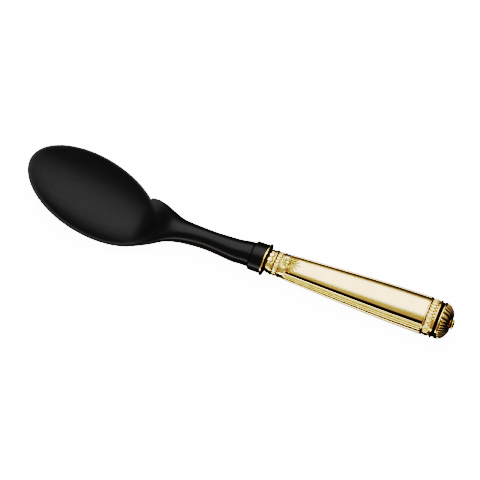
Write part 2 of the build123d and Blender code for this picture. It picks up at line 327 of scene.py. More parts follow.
# Mild steel rod, drawn: grey with lines along it.
def makeSteelMaterial():
    material, tree = newMaterial("drawnSteelRod")
    place = addNode(tree, "ShaderNodeTexCoord").outputs["Object"]
    lines = addNode(tree, "ShaderNodeMapping", {"Scale": (steelLook["lineStretch"], 1, 1)}, {"Vector": place})
    drawn = addNode(tree, "ShaderNodeTexNoise", {"Scale": 1 / (steelLook["lines"] * mm), "Detail": 3.0},
                    {"Vector": lines.outputs["Vector"]})
    stops = [(0.3, linearColour(steelLook["dark"])), (0.7, linearColour(steelLook["light"]))]
    colour = addRamp(tree, stops, drawn.outputs["Fac"])
    rough = addNode(tree, "ShaderNodeMapRange", {"To Min": steelLook["bright"], "To Max": steelLook["dull"]},
                    {"Value": drawn.outputs["Fac"]})
    addSurface(tree, {"Metallic": 1.0},
               {"Base Color": colour.outputs["Color"], "Roughness": rough.outputs["Result"]})
    return material


horn = makeHornMaterial()
# three copies of one gilt that differ in how much painted shade lies in corners: 0.9, 0.15 and 1.0; the
# chased copy is also rougher
gilt = makeGiltMaterial("buffedGiltBrass", giltLook, 0.9)
giltLessPaintedShade = makeGiltMaterial("giltBrassLittlePaintedShade", giltLook, 0.15)
chasedGilt = makeGiltMaterial("chasedGiltBrass", {**giltLook, "bright": 0.16, "worn": 0.3}, 1.0)
cement = makeCementMaterial()
steel = makeSteelMaterial()
print("materials made")

bowl = {
    "reach": 110.4,            # mouth plate to the middle of the bowl
    "side": -axisY,            # the bowl stands on the middle of the frame
    "halfLength": 44.2,        # in plan
    "halfWidth": 25.6,
    "turn": 14.0,
    "rimHeight": 8.48,         # over the table, at the bowl's middle
    "rise": 0.116,             # the rim climbs this much per mm towards the tip
    "depth": 5.4,
    "rimWidth": 1.3,
    "rimWall": 1.5,
    "curvature": 8.0,          # the ellipsoid's centre over the rim
    "underDepth": 5.7,
    "edgePower": 12.0,         # how squarely the rim's edge closes
    "topSoftness": 0.35,       # where the hollow and the underside run out at the rim
    "underSoftness": 0.2,
    "radialStart": 4.0,        # past the notch, where sections begin to follow the ellipse
    "radialEnd": 22.0,
    "notch": 78.2,             # distance of the cut at the bowl's far shoulder
    "nearTangent": 77.0,
}
neck = {
    # each pair: distance from the mouth plate, then the value there
    "farEdge": [(7.5, 7.9), (20, 7.1), (35, 6.4), (46, 7.2), (53, 8.5), (58.5, 10.8), (64, 13.4),
                (69, 15.6), (74, 16.9), (78.2, 16.3)],
    "nearEdge": [(7.5, -7.9), (20, -7.0), (36, -5.9), (43, -6.2), (53, -7.4), (57.6, -8.8), (66, -13.6),
                 (71, -16.1), (77, -19.1)],
    "middle": [(7.5, 6.95), (15, 7.1), (23, 7.3), (31, 7.5), (39, 7.6), (47, 7.4), (55, 6.8), (63, 5.7),
               (71, 4.6), (79, 3.4)],
    "halfThickness": [(7.5, 5.2), (15, 5.1), (23, 4.9), (31, 4.7), (39, 4.7), (47, 4.6), (55, 4.2), (63, 3.6),
                      (71, 2.6), (79, 1.6)],
    "power": 2.25,
    "sideShift": -0.6,         # of the shoulders, to meet the bowl
    "shiftStart": 30.0,
    "waistShift": -1.0,        # of the neck's thin part, which bows to the near side
    "waist": (8, 20, 50, 72),  # where that bow begins, is full, starts to fade and ends
    "collarHalfWidth": 9.5,
    "collarHalfThickness": 6.1,
    "collarLength": 7.5,
    "collarStep": 0.9,
    "collarRound": 0.35,       # at the collar's end
    "tenon": (4.4, 2.0, 13.0),
    "blendStart": 56.0,        # where the neck begins to take the bowl's shape
    "blendEnd": 86.0,
    "satin": (62, 74),         # the buffed neck turns into the scraped bowl
}
hornSteps = {"bowl": 110, "round": 144, "neck": 0.55, "step": 0.12}


def bowlEdges(distance):
    # both crossings of the turned ellipse by a line across the spoon
    turn = radians(bowl["turn"])
    offset = distance - bowl["reach"]
    lengthPart = 1 / bowl["halfLength"] ** 2
    widthPart = 1 / bowl["halfWidth"] ** 2
    square = sin(turn) ** 2 * lengthPart + cos(turn) ** 2 * widthPart
    slope = 2 * offset * sin(turn) * cos(turn) * (lengthPart - widthPart)
    rest = offset**2 * (cos(turn) ** 2 * lengthPart + sin(turn) ** 2 * widthPart) - 1
    root = np.sqrt(np.maximum(slope**2 - 4 * square * rest, 0))
    return bowl["side"] + (-slope - root) / (2 * square), bowl["side"] + (-slope + root) / (2 * square)


def capDepth(share, depth):
    # depth under the rim of an ellipsoid whose centre is above it
    drop = bowl["curvature"] + depth
    reach = sqrt(1 - (bowl["curvature"] / drop) ** 2)
    inside = np.maximum(1 - (share * reach) ** 2, 0)
    return drop * np.sqrt(inside) - bowl["curvature"]


def softPositive(value, softness):
    return (value + np.sqrt(value**2 + softness**2)) / 2


def makeHorn():
    turn = radians(bowl["turn"])
    tipReach = sqrt((bowl["halfLength"] * cos(turn)) ** 2 + (bowl["halfWidth"] * sin(turn)) ** 2)
    tip = bowl["reach"] + tipReach
    swing = np.linspace(0, pi / 2, hornSteps["bowl"])[1:]
    bowlStations = tip - (tip - bowl["notch"]) * (1 - np.cos(swing))
    middleStations = np.arange(bowl["notch"] - hornSteps["step"], 8.6, -hornSteps["neck"])
    stepStations = np.arange(8.5, 6.4, -hornSteps["step"])
    collarStations = np.array([6.0, 4.0, 2.0, 0.6, 0.25, 0.08, 0.0])
    distance = np.concatenate([bowlStations, middleStations, stepStations, collarStations])[:, None]

    nearEllipse, farEllipse = bowlEdges(distance)
    nearNeck = smoothThrough(*zip(*neck["nearEdge"]), distance)
    farNeck = smoothThrough(*zip(*neck["farEdge"]), distance)
    waistStart, waistFull, waistFade, waistEnd = neck["waist"]
    waist = smoothStep(waistStart, waistFull, distance) * (1 - smoothStep(waistFade, waistEnd, distance))
    shoulder = smoothStep(neck["shiftStart"], bowl["nearTangent"], distance)
    swingBack = neck["sideShift"] * shoulder + neck["waistShift"] * waist
    nearNeck, farNeck = nearNeck + swingBack, farNeck + swingBack
    near = np.where(distance > bowl["nearTangent"], nearEllipse, nearNeck)
    far = np.where(distance > bowl["notch"], farEllipse, farNeck)

    angle = np.linspace(0, 2 * pi, hornSteps["round"], endpoint=False)[None, :]
    across = np.cos(angle)
    upper = np.where(np.sin(angle) >= 0, 1.0, -1.0)
    side = (near + far) / 2 + (far - near) / 2 * across
    offset = distance - bowl["reach"]
    lengthwise = offset * cos(turn) + (side - bowl["side"]) * sin(turn)
    crosswise = -offset * sin(turn) + (side - bowl["side"]) * cos(turn)
    share = np.sqrt((lengthwise / bowl["halfLength"]) ** 2 + (crosswise / bowl["halfWidth"]) ** 2)
    innerShare = np.sqrt((lengthwise / (bowl["halfLength"] - bowl["rimWidth"])) ** 2
                         + (crosswise / (bowl["halfWidth"] - bowl["rimWidth"])) ** 2)

    rim = bowl["rimHeight"] + bowl["rise"] * lengthwise
    dishTop = rim - softPositive(capDepth(innerShare, bowl["depth"]), bowl["topSoftness"])
    under = softPositive(capDepth(share, bowl["underDepth"]), bowl["underSoftness"])
    dishUnder = rim - bowl["rimWall"] - under
    dishMiddle = (dishTop + dishUnder) / 2
    dishHalf = (dishTop - dishUnder) / 2

    isDish = smoothStep(neck["blendStart"], neck["blendEnd"], distance)
    isRadial = smoothStep(bowl["notch"] + bowl["radialStart"], bowl["notch"] + bowl["radialEnd"], distance)
    power = neck["power"] * (bowl["edgePower"] / neck["power"]) ** isDish
    neckMiddle = smoothThrough(*zip(*neck["middle"]), distance)
    neckHalf = smoothThrough(*zip(*neck["halfThickness"]), distance)
    middle = dishMiddle * isDish + neckMiddle * (1 - isDish)
    half = dishHalf * isDish + neckHalf * (1 - isDish)
    edge = np.clip(share * isRadial + np.abs(across) * (1 - isRadial), 0, 1)
    closing = np.maximum(1 - edge**power, 0) ** (1 / power)
    up = middle + upper * half * closing

    # the collar's step, then its flat end and the tenon
    isCollar = smoothStep(neck["collarLength"] + neck["collarStep"], neck["collarLength"] - 0.3, distance)
    corner = neck["collarRound"] * (1 - np.clip(distance / neck["collarRound"], 0, 1)) ** 2
    collarSide = (neck["collarHalfWidth"] - corner) * np.cos(angle)
    collarUp = axisZ + (neck["collarHalfThickness"] - corner) * np.sin(angle)
    side = side * (1 - isCollar) + collarSide * isCollar
    up = up * (1 - isCollar) + collarUp * isCollar

    tenonWidth, tenonThickness, tenonLength = neck["tenon"]
    tenonSide = tenonWidth * np.cos(angle) * np.ones((2, 1))
    tenonUp = axisZ + tenonThickness * np.sin(angle) * np.ones((2, 1))
    distance = np.concatenate([distance, [[0.0], [-tenonLength]]])
    side = np.concatenate([side, tenonSide])
    up = np.concatenate([up, tenonUp])

    rings = toRow(-distance * np.ones_like(side), side, up - axisZ)
    ringCount, pointCount, _ = rings.shape
    tipSide = float(bowlEdges(np.array([tip - 1e-6]))[0][0])
    tipLengthwise = tipReach * cos(turn) + (tipSide - bowl["side"]) * sin(turn)
    tipUp = bowl["rimHeight"] + bowl["rise"] * tipLengthwise - bowl["rimWall"] / 2
    tipPoint = toRow(np.array([-tip]), np.array([tipSide]), np.array([tipUp - axisZ]))
    endPoint = toRow(np.array([tenonLength]), np.array([0.0]), np.array([0.0]))
    points = np.concatenate([rings.reshape(-1, 3), tipPoint, endPoint])
    faces = closedFaces(ringCount, pointCount)
    satin = smoothStep(*neck["satin"], distance) * np.ones((1, pointCount))
    satin = np.concatenate([satin.ravel(), [1.0, 0.0]])
    makePiece("horn_bowl_and_neck", points, faces, horn, ["spoon_bowl"], satin, 35)


makeHorn()
print("horn made")

handle = {
    "sections": [(7.7, 4.2), (8.95, 4.9), (10.1, 5.6), (11.0, 6.2), (11.4, 6.6)],
    "power": 2.5,
    "wall": 1.3,
    "fadeStart": 12.0,
    "fadeEnd": 17.0,
    "panelEdge": 0.83,         # heights on the oval, as shares of its half thickness
    "grooveTop": 0.82,
    "grooveFoot": 0.7,
    "grooveDepth": 0.95,
    "reedEdges": [0.7, 0.55, 0.34, 0.12],
    "reedHeight": 0.3,
    "reedValley": 0.12,
    "seamDepth": 0.8,
    "reedSwell": 0.8,          # under one makes a reed fuller than a half circle
    "grooveFlat": 1.7,         # over one leaves a flat floor
    "darkSlope": 3,            # how fast the painted shade in a groove turns black
    "sideSteps": 84,
    "panelSteps": 43,
}
shellStart = startOf("handle_shell_upper")
shellEnd = endOf("handle_shell_upper")


def handleSize(along):
    stations = np.linspace(shellStart, shellEnd, len(handle["sections"]))
    widths, thicknesses = zip(*handle["sections"])
    return smoothThrough(stations, widths, along), smoothThrough(stations, thicknesses, along)


def ovalLoop(halfWidth, halfThickness, count=160):
    # a closed oval, as side and up; a broadcast over rings is allowed
    angle = np.linspace(0, 2 * pi, count, endpoint=False)[None, :]
    power = 2 / handle["power"]
    side = halfWidth * np.sign(np.cos(angle)) * np.abs(np.cos(angle)) ** power
    up = halfThickness * np.sign(np.sin(angle)) * np.abs(np.sin(angle)) ** power
    return side, up


def makeShell(name, direction, stands):
    power = handle["power"]
    sideHeights = np.linspace(0, handle["panelEdge"], handle["sideSteps"])
    sideShares = (1 - sideHeights**power) ** (1 / power)
    panelShares = np.linspace(sideShares[-1], -sideShares[-1], handle["panelSteps"])[1:-1]
    panelHeights = (1 - np.abs(panelShares) ** power) ** (1 / power)
    share = np.concatenate([sideShares, panelShares, -sideShares[::-1]])[None, :]
    height = np.concatenate([sideHeights, panelHeights, sideHeights[::-1]])[None, :]

    relief = np.zeros_like(height)
    edges = handle["reedEdges"]
    for top, foot in zip(edges[:-1], edges[1:]):
        place = np.clip((height - foot) / (top - foot), 0, 1)
        inside = (height > foot) & (height <= top)
        swell = np.sin(pi * place) ** handle["reedSwell"]
        swell = swell * (handle["reedHeight"] + handle["reedValley"]) - handle["reedValley"]
        relief = np.where(inside, swell, relief)
    groovePlace = (height - handle["grooveFoot"]) / (handle["grooveTop"] - handle["grooveFoot"])
    groove = np.clip(handle["grooveFlat"] * (1 - np.abs(2 * groovePlace - 1)), 0, 1)
    relief = np.where(groove > 0, -handle["grooveDepth"] * groove, relief)
    # the V-groove is painted black as shade
    dark = np.where(groove > 0.2, np.clip(groove * handle["darkSlope"], 0, 1), 0)
    seam = np.clip(1 - height / edges[-1], 0, 1)

    along = np.concatenate([np.linspace(shellStart, 20, 40), np.linspace(20, shellEnd, 90)[1:]])[:, None]
    halfWidth, halfThickness = handleSize(along)
    fade = smoothStep(handle["fadeStart"], handle["fadeEnd"], along)
    lift = relief * fade - handle["seamDepth"] * seam
    outX = np.abs(share) ** (power - 1) / halfWidth * np.sign(share)
    outZ = height ** (power - 1) / halfThickness
    size = np.sqrt(outX**2 + outZ**2)
    side = halfWidth * share + lift * outX / size
    up = halfThickness * height + lift * outZ / size
    up = np.maximum(up, 0)
    innerSide = (halfWidth - handle["wall"]) * share[:, ::-1]
    innerUp = (halfThickness - handle["wall"]) * height[:, ::-1]
    loopSide = np.concatenate([side, innerSide * np.ones_like(side)], axis=1)
    loopUp = np.concatenate([up, innerUp * np.ones_like(up)], axis=1) * direction
    ringCount, pointCount = loopSide.shape
    points = toRow(along * np.ones_like(loopSide), loopSide, loopUp).reshape(-1, 3)
    faces = ringFaces(ringCount, pointCount)
    outerCount = pointCount // 2
    for ringStart in (0, (ringCount - 1) * pointCount):
        for spot in range(outerCount - 1):
            opposite = pointCount - 1 - spot
            corners = (spot, spot + 1, opposite - 1, opposite)
            faces.append(tuple(ringStart + corner for corner in corners))
    # painted shade in the V-grooves, with the dark seam where the two shells meet
    recess = np.maximum(dark * fade, np.clip(seam * handle["darkSlope"], 0, 1))
    recess = np.concatenate([recess, np.zeros_like(recess)], axis=1)
    makePiece(name, points, faces, gilt, stands, recess, 45)


makeShell("reeded_shell_upper", 1, ["handle_shell_upper"])
makeShell("reeded_shell_lower", -1, ["handle_shell_lower"])
print("handle shells made")


def makeRing(name, profile, halfWidth, halfThickness, stands, material=gilt, paintedShadeStrength=0.0):
    # a closed profile of (along, proud) carried round an oval
    profile = np.asarray(profile)
    along = profile[:, :1]
    side, up = ovalLoop(halfWidth + profile[:, 1:2], halfThickness + profile[:, 1:2])
    points = toRow(along * np.ones_like(side), side, up)
    faces = ringFaces(*side.shape, joinEnds=True)
    # painted shade: the ring's recess value darkens it in the gilt material
    recess = np.full(side.size, paintedShadeStrength)
    makePiece(name, points.reshape(-1, 3), faces, material, stands, recess)


def wireProfile(start, end, proud, seat):
    radius = (end - start) / 2
    swing = np.linspace(pi, 0, 15)
    crest = [(start + radius + radius * cos(turn), proud - radius + radius * sin(turn)) for turn in swing]
    return crest + [(end, -seat), (start, -seat)]


rings = {"wireProud": 0.35, "seat": 1.0, "bandFloor": 0.55, "pommelSeat": 3.0, "groove": 0.6,
         "grooveSeat": 2.0}
frontWidth, frontThickness = handle["sections"][0]
buttWidth, buttThickness = handle["sections"][-1]
ends = (("bolster", frontWidth, frontThickness), ("butt", buttWidth, buttThickness))
for end, halfWidth, halfThickness in ends:
    for place in ("front", "rear"):
        name = f"{end}_wire_{place}"
        profile = wireProfile(startOf(name), endOf(name), rings["wireProud"], rings["seat"])
        makeRing(f"{end}_beaded_edge_{place}", profile, halfWidth, halfThickness, [name])
pommelStart = startOf("pommel_wire")
pommelWire = wireProfile(pommelStart, endOf("pommel_wire"), 0.0, rings["pommelSeat"])
makeRing("pommel_edge", pommelWire, buttWidth, buttThickness, ["pommel_wire"])
# a black ring painted as the shade in the groove before the pommel
grooveStart = endOf("butt_wire_rear")
grooveFloor = [(grooveStart, -rings["groove"]), (pommelStart, -rings["groove"]),
               (pommelStart, -rings["grooveSeat"]), (grooveStart, -rings["grooveSeat"])]
makeRing("pommel_groove_floor", grooveFloor, buttWidth, buttThickness, [], chasedGilt, 1.0)

plate = {"halfWidth": 10.6, "halfThickness": 6.5, "hole": 5.6, "edgeShare": 0.68}
plateThickness = endOf("mouth_plate")
plateProfile = [(0.0, -plate["hole"]), (0.0, -1.2), (0.1, -0.35), (0.2, -0.08), (0.4, 0.0)]
plateProfile += [(plateThickness - 0.25, -0.02), (plateThickness - 0.08, -0.15), (plateThickness, -0.45)]
plateProfile += [(plateThickness, -plate["hole"])]


def makePlate():
    profile = np.asarray(plateProfile)
    angle = np.linspace(0, 2 * pi, 160, endpoint=False)[None, :]
    side = (plate["halfWidth"] + profile[:, 1:2]) * np.cos(angle)
    up = (plate["halfThickness"] + profile[:, 1:2] * plate["edgeShare"]) * np.sin(angle)
    points = toRow(profile[:, :1] * np.ones_like(side), side, up)
    faces = ringFaces(*side.shape, joinEnds=True)
    makePiece("flared_mouth_plate", points.reshape(-1, 3), faces, gilt, ["mouth_plate"])


makePlate()
print("plate and rings made")


def leafMesh(name, length, width, height, tipShare, veinDepth, steps=(12, 8)):
    # a pointed leaf along +x: rounded across, with a centre vein, on a flat foot
    lengthSteps, widthSteps = steps
    rows = []
    for row in range(lengthSteps + 1):
        share = row / lengthSteps
        half = width / 2 * (sin(pi * share**tipShare) ** 0.6 if 0 < share < 1 else 0.02)
        for column in range(widthSteps + 1):
            across = 2 * column / widthSteps - 1
            dome = sqrt(max(1 - across**2, 0))
            vein = veinDepth * max(1 - abs(across) * 3, 0)
            rise = height * (dome * sin(pi * min(share * 0.9 + 0.08, 1)) ** 0.5 - vein)
            rows.append(((share - 0.5) * length, across * half, rise))
    faces = []
    across = widthSteps + 1
    for row in range(lengthSteps):
        for column in range(widthSteps):
            start = row * across + column
            faces.append((start, start + across, start + across + 1, start + 1))
    mesh = bpy.data.meshes.new(name)
    mesh.from_pydata([tuple(value * mm for value in point) for point in rows], [], faces)
    for polygon in mesh.polygons:
        polygon.use_smooth = True
    made = bpy.data.objects.new(name, mesh)
    scene.collection.objects.link(made)
    return made


def ovalPath(name, along, halfWidth, halfThickness):
    side, up = ovalLoop(halfWidth, halfThickness, 240)
    points = toRow(along * np.ones_like(side), side, up)[0] * mm
    curve = bpy.data.curves.new(name, "CURVE")
    curve.dimensions = "3D"
    spline = curve.splines.new("POLY")
    spline.points.add(len(points) - 1)
    spline.points.foreach_set("co", np.concatenate([points, np.ones((len(points), 1))], axis=1).ravel())
    spline.use_cyclic_u = True
    made = bpy.data.objects.new(name, curve)
    scene.collection.objects.link(made)
    return made


def treeInput(tree, name, kind, default=None):
    made = tree.interface.new_socket(name=name, in_out="INPUT", socket_type=kind)
    if default is not None:
        made.default_value = default


def newTree(name):
    tree = bpy.data.node_groups.new(name, "GeometryNodeTree")
    tree.interface.new_socket(name="Geometry", in_out="INPUT", socket_type="NodeSocketGeometry")
    tree.interface.new_socket(name="Geometry", in_out="OUTPUT", socket_type="NodeSocketGeometry")
    return tree


def makeLeafTree():
    # leaves at even steps along the path, standing out from the handle's axis
    tree = newTree("leavesRoundPath")
    treeInput(tree, "Path", "NodeSocketObject")
    treeInput(tree, "Leaf", "NodeSocketObject")
    treeInput(tree, "Count", "NodeSocketInt", 20)
    treeInput(tree, "Size", "NodeSocketFloat", 1.0)
    treeInput(tree, "Finish", "NodeSocketMaterial")
    given = addNode(tree, "NodeGroupInput").outputs
    path = addNode(tree, "GeometryNodeObjectInfo", {"transform_space": "RELATIVE"}, {"Object": given["Path"]})
    leaf = addNode(tree, "GeometryNodeObjectInfo", {"transform_space": "ORIGINAL"}, {"Object": given["Leaf"]})
    spots = addNode(tree, "GeometryNodeCurveToPoints", {"mode": "COUNT"},
                    {"Curve": path.outputs["Geometry"], "Count": given["Count"]})
    outward = addNode(tree, "ShaderNodeVectorMath", {"operation": "CROSS_PRODUCT", 1: (1.0, 0.0, 0.0)},
                      {0: spots.outputs["Tangent"]})
    aligned = addNode(tree, "FunctionNodeAlignRotationToVector", {"axis": "Z", "pivot_axis": "X"},
                      {"Vector": outward.outputs["Vector"]})
    placed = addNode(tree, "GeometryNodeInstanceOnPoints", {},
                     {"Points": spots.outputs["Points"], "Instance": leaf.outputs["Geometry"],
                      "Rotation": aligned.outputs["Rotation"], "Scale": given["Size"]})
    real = addNode(tree, "GeometryNodeRealizeInstances", {}, {"Geometry": placed.outputs["Instances"]})
    finish = addNode(tree, "GeometryNodeSetMaterial", {},
                     {"Geometry": real.outputs["Geometry"], "Material": given["Finish"]})
    addNode(tree, "NodeGroupOutput", {}, {"Geometry": finish.outputs["Geometry"]})
    return tree


def makeFanTree():
    # lobes turned at even steps about the fan's foot, then laid on the panel's crown
    tree = newTree("lobesInFan")
    treeInput(tree, "Lobe", "NodeSocketObject")
    treeInput(tree, "Count", "NodeSocketInt", 9)
    treeInput(tree, "Spread", "NodeSocketFloat", 2.6)
    treeInput(tree, "Turn", "NodeSocketFloat", 0.0)
    treeInput(tree, "Shortening", "NodeSocketFloat", 0.3)
    treeInput(tree, "Foot", "NodeSocketVector")
    treeInput(tree, "Crown", "NodeSocketFloat", 1.0)
    treeInput(tree, "Finish", "NodeSocketMaterial")
    given = addNode(tree, "NodeGroupInput").outputs
    lobe = addNode(tree, "GeometryNodeObjectInfo", {"transform_space": "ORIGINAL"}, {"Object": given["Lobe"]})
    line = addNode(tree, "GeometryNodeMeshLine", {},
                   {"Count": given["Count"], "Start Location": given["Foot"]})
    line.inputs["Offset"].default_value = (0, 0, 0)
    index = addNode(tree, "GeometryNodeInputIndex")
    last = addMath(tree, "SUBTRACT", given["Count"], 1.0)
    share = addMath(tree, "DIVIDE", index.outputs[0], last)
    centred = addMath(tree, "SUBTRACT", share, 0.5)
    angle = addMath(tree, "MULTIPLY", centred, given["Spread"])
    turned = addMath(tree, "ADD", angle, given["Turn"])
    turn = addNode(tree, "ShaderNodeCombineXYZ", {}, {"Z": turned})
    away = addMath(tree, "ABSOLUTE", centred)
    loss = addMath(tree, "MULTIPLY", away, given["Shortening"])
    size = addMath(tree, "SUBTRACT", 1.0, loss)
    stretch = addNode(tree, "ShaderNodeCombineXYZ", {"Y": 1.0, "Z": 1.0}, {"X": size})
    placed = addNode(tree, "GeometryNodeInstanceOnPoints", {},
                     {"Points": line.outputs["Mesh"], "Instance": lobe.outputs["Geometry"],
                      "Rotation": turn.outputs["Vector"], "Scale": stretch.outputs["Vector"]})
    real = addNode(tree, "GeometryNodeRealizeInstances", {}, {"Geometry": placed.outputs["Instances"]})
    place = addNode(tree, "GeometryNodeInputPosition")
    fromFoot = addNode(tree, "ShaderNodeVectorMath", {"operation": "SUBTRACT"},
                       {0: place.outputs[0], 1: given["Foot"]})
    parts = addNode(tree, "ShaderNodeSeparateXYZ", {}, {0: fromFoot.outputs["Vector"]})
    square = addMath(tree, "MULTIPLY", parts.outputs["Y"], parts.outputs["Y"])
    fall = addMath(tree, "MULTIPLY", square, given["Crown"])
    drop = addMath(tree, "MULTIPLY", fall, -1.0)
    shift = addNode(tree, "ShaderNodeCombineXYZ", {}, {"Z": drop})
    laid = addNode(tree, "GeometryNodeSetPosition", {},
                   {"Geometry": real.outputs["Geometry"], "Offset": shift.outputs["Vector"]})
    finish = addNode(tree, "GeometryNodeSetMaterial", {},
                     {"Geometry": laid.outputs["Geometry"], "Material": given["Finish"]})
    addNode(tree, "NodeGroupOutput", {}, {"Geometry": finish.outputs["Geometry"]})
    return tree


def grow(name, tree, values):
    # runs a tree on an empty mesh and returns the plain mesh
    holder = bpy.data.objects.new(name + "Holder", bpy.data.meshes.new(name + "Holder"))
    scene.collection.objects.link(holder)
    modifier = holder.modifiers.new("grow", "NODES")
    modifier.node_group = tree
    for item in tree.interface.items_tree:
        if item.in_out == "INPUT" and item.name in values:
            modifier[item.identifier] = values[item.name]
    bpy.context.view_layer.update()
    evaluated = holder.evaluated_get(bpy.context.evaluated_depsgraph_get())
    mesh = bpy.data.meshes.new_from_object(evaluated)
    holder.modifiers.remove(modifier)
    bpy.data.objects.remove(holder)
    return mesh


leafTree = makeLeafTree()
fanTree = makeFanTree()
leaves = {
    "bolster_leaf_band": {"count": 18, "width": 2.5, "height": 0.62, "over": 0.96},
    "butt_leaf_band": {"count": 26, "width": 2.5, "height": 0.62, "over": 0.96},
}


def makeLeafBand(node, halfWidth, halfThickness, look):
    start, end = startOf(node), endOf(node)
    floor = rings["bandFloor"]
    length = (end - start) * look["over"]
    leaf = leafMesh(node + "Leaf", length, look["width"], look["height"], 0.8, 0.35)
    path = ovalPath(node + "Path", (start + end) / 2, halfWidth - floor, halfThickness - floor)
    grown = grow(node, leafTree, {"Path": path, "Leaf": leaf, "Count": look["count"], "Size": 1.0,
                                  "Finish": chasedGilt})
    profile = [(start, -floor), (end, -floor), (end, -rings["seat"]), (start, -rings["seat"])]
    makeRing(node + "_floor", profile, halfWidth, halfThickness, [node], chasedGilt)
    finishPiece(node + "_leaves", grown, chasedGilt, [], 60)
    bpy.data.objects.remove(leaf)
    bpy.data.objects.remove(path)


makeLeafBand("bolster_leaf_band", frontWidth, frontThickness, leaves["bolster_leaf_band"])
makeLeafBand("butt_leaf_band", buttWidth, buttThickness, leaves["butt_leaf_band"])
print("leaf bands made")

sleeve = {
    "waistWidth": 6.0,
    "waistThickness": 3.9,
    "flare": 1.6,              # at the mouth plate
    "flareShare": 0.3,         # of the sleeve's length
    "inset": 0.1,              # under the front wire
    "wall": 1.2,
    "innerWidthInset": 2.2,
    "tongues": 10,
    "tongueWidth": 4.6,
    "tongueHeight": 0.7,
    "tongueShare": 0.82,
    "tongueLift": (0.45, 0.2),
}


def makeSleeve():
    start = plateThickness
    end = startOf("bolster_wire_front")
    along = start + (end - start) * np.array([0, 0.08, 0.18, 0.3, 0.42, 0.55, 0.68, 0.8, 0.9, 1.0])
    share = (along - start) / (end - start)
    throat = sleeve["flare"] * (1 - np.clip(share / sleeve["flareShare"], 0, 1)) ** 2
    opening = smoothStep(0.15, 1.0, share)
    waistWidth, waistThickness, wall = sleeve["waistWidth"], sleeve["waistThickness"], sleeve["wall"]
    halfWidth = waistWidth + throat + (frontWidth - sleeve["inset"] - waistWidth) * opening
    halfThickness = waistThickness + throat + (frontThickness - sleeve["inset"] - waistThickness) * opening
    innerWidths = [frontWidth - sleeve["innerWidthInset"], waistWidth - wall]
    innerThicknesses = [frontThickness - wall, waistThickness - wall + sleeve["inset"]]
    halfWidth = np.concatenate([halfWidth, innerWidths])
    halfThickness = np.concatenate([halfThickness, innerThicknesses])
    along = np.concatenate([along, [end, start]])
    side, up = ovalLoop(halfWidth[:, None], halfThickness[:, None])
    points = toRow(along[:, None] * np.ones_like(side), side, up)
    faces = ringFaces(*side.shape, joinEnds=True)
    # painted shade: the throat darkens towards the mouth plate
    shade = np.clip(1.4 - (along[:, None] - start) / 1.2, 0, 1) * np.ones_like(side)
    makePiece("bolster_throat", points.reshape(-1, 3), faces, chasedGilt, ["bolster_sleeve"], shade)
    length = (end - start) * sleeve["tongueShare"]
    leaf = leafMesh("tongueLeaf", length, sleeve["tongueWidth"], sleeve["tongueHeight"], 0.9, 0.12)
    middle = end - length / 2
    widthLift, thicknessLift = sleeve["tongueLift"]
    path = ovalPath("tonguePath", middle, waistWidth + widthLift, waistThickness + thicknessLift)
    grown = grow("tongues", leafTree, {"Path": path, "Leaf": leaf, "Count": sleeve["tongues"], "Size": 1.0,
                                       "Finish": chasedGilt})
    finishPiece("bolster_tongue_leaves", grown, chasedGilt, [], 60)
    bpy.data.objects.remove(leaf)
    bpy.data.objects.remove(path)


makeSleeve()
print("sleeve made")

palmette = {
    "foot": 13.2,              # mouth plate to the hub
    "length": 9.4,
    "lobes": 9,
    "spread": 150.0,
    "width": 1.7,
    "height": 0.95,
    "shorter": 0.7,            # the outer lobes against the middle one
    "sink": 0.25,              # into the panel
    "crown": 0.022,            # how the panel falls away to its sides, per mm at crownWidth
    "crownWidth": 7.7,
    "hub": 1.5,
    "hubFlatness": 0.45,
    "hubShift": (0.2, 0, 0.1),
}
scroll = {"length": 3.4, "lobes": 6, "spread": 200.0}


def makePalmette(name, stands, isUpper):
    halfWidth, halfThickness = (float(value) for value in handleSize(palmette["foot"] + 2))
    top = halfThickness - palmette["sink"]
    lobe = leafMesh("palmetteLobe", palmette["length"], palmette["width"], palmette["height"],
                    1.7, 0.3, (14, 8))
    for vertex in lobe.data.vertices:
        vertex.co.x += palmette["length"] / 2 * mm
    foot = toRow(palmette["foot"], 0.0, top) * mm
    crown = palmette["crown"] / mm * (palmette["crownWidth"] / halfWidth)
    shared = {"Foot": foot.tolist(), "Crown": crown, "Finish": chasedGilt}
    fanValues = {**shared, "Lobe": lobe, "Count": palmette["lobes"], "Turn": 0.0,
                 "Spread": radians(palmette["spread"]), "Shortening": palmette["shorter"]}
    grown = grow("palmette", fanTree, fanValues)
    for vertex in lobe.data.vertices:
        vertex.co.x *= scroll["length"] / palmette["length"]
    scrollValues = {**shared, "Lobe": lobe, "Count": scroll["lobes"], "Turn": pi,
                    "Spread": radians(scroll["spread"]), "Shortening": 0.0}
    back = grow("scroll", fanTree, scrollValues)
    bpy.data.objects.remove(lobe)
    work = bmesh.new()
    work.from_mesh(grown)
    work.from_mesh(back)
    hub = bmesh.ops.create_uvsphere(work, u_segments=24, v_segments=12, radius=palmette["hub"] * mm)
    for vertex in hub["verts"]:
        vertex.co.z *= palmette["hubFlatness"]
        vertex.co += Vector(foot) + Vector([shift * mm for shift in palmette["hubShift"]])
    if not isUpper:
        middle = axisZ * mm
        for vertex in work.verts:
            vertex.co.z = 2 * middle - vertex.co.z
    work.to_mesh(grown)
    work.free()
    finishPiece(name, grown, chasedGilt, stands, 60)


makePalmette("palmette_fan_upper", ["palmette_upper"], True)
makePalmette("palmette_fan_lower", ["palmette_lower"], False)
print("palmettes made")

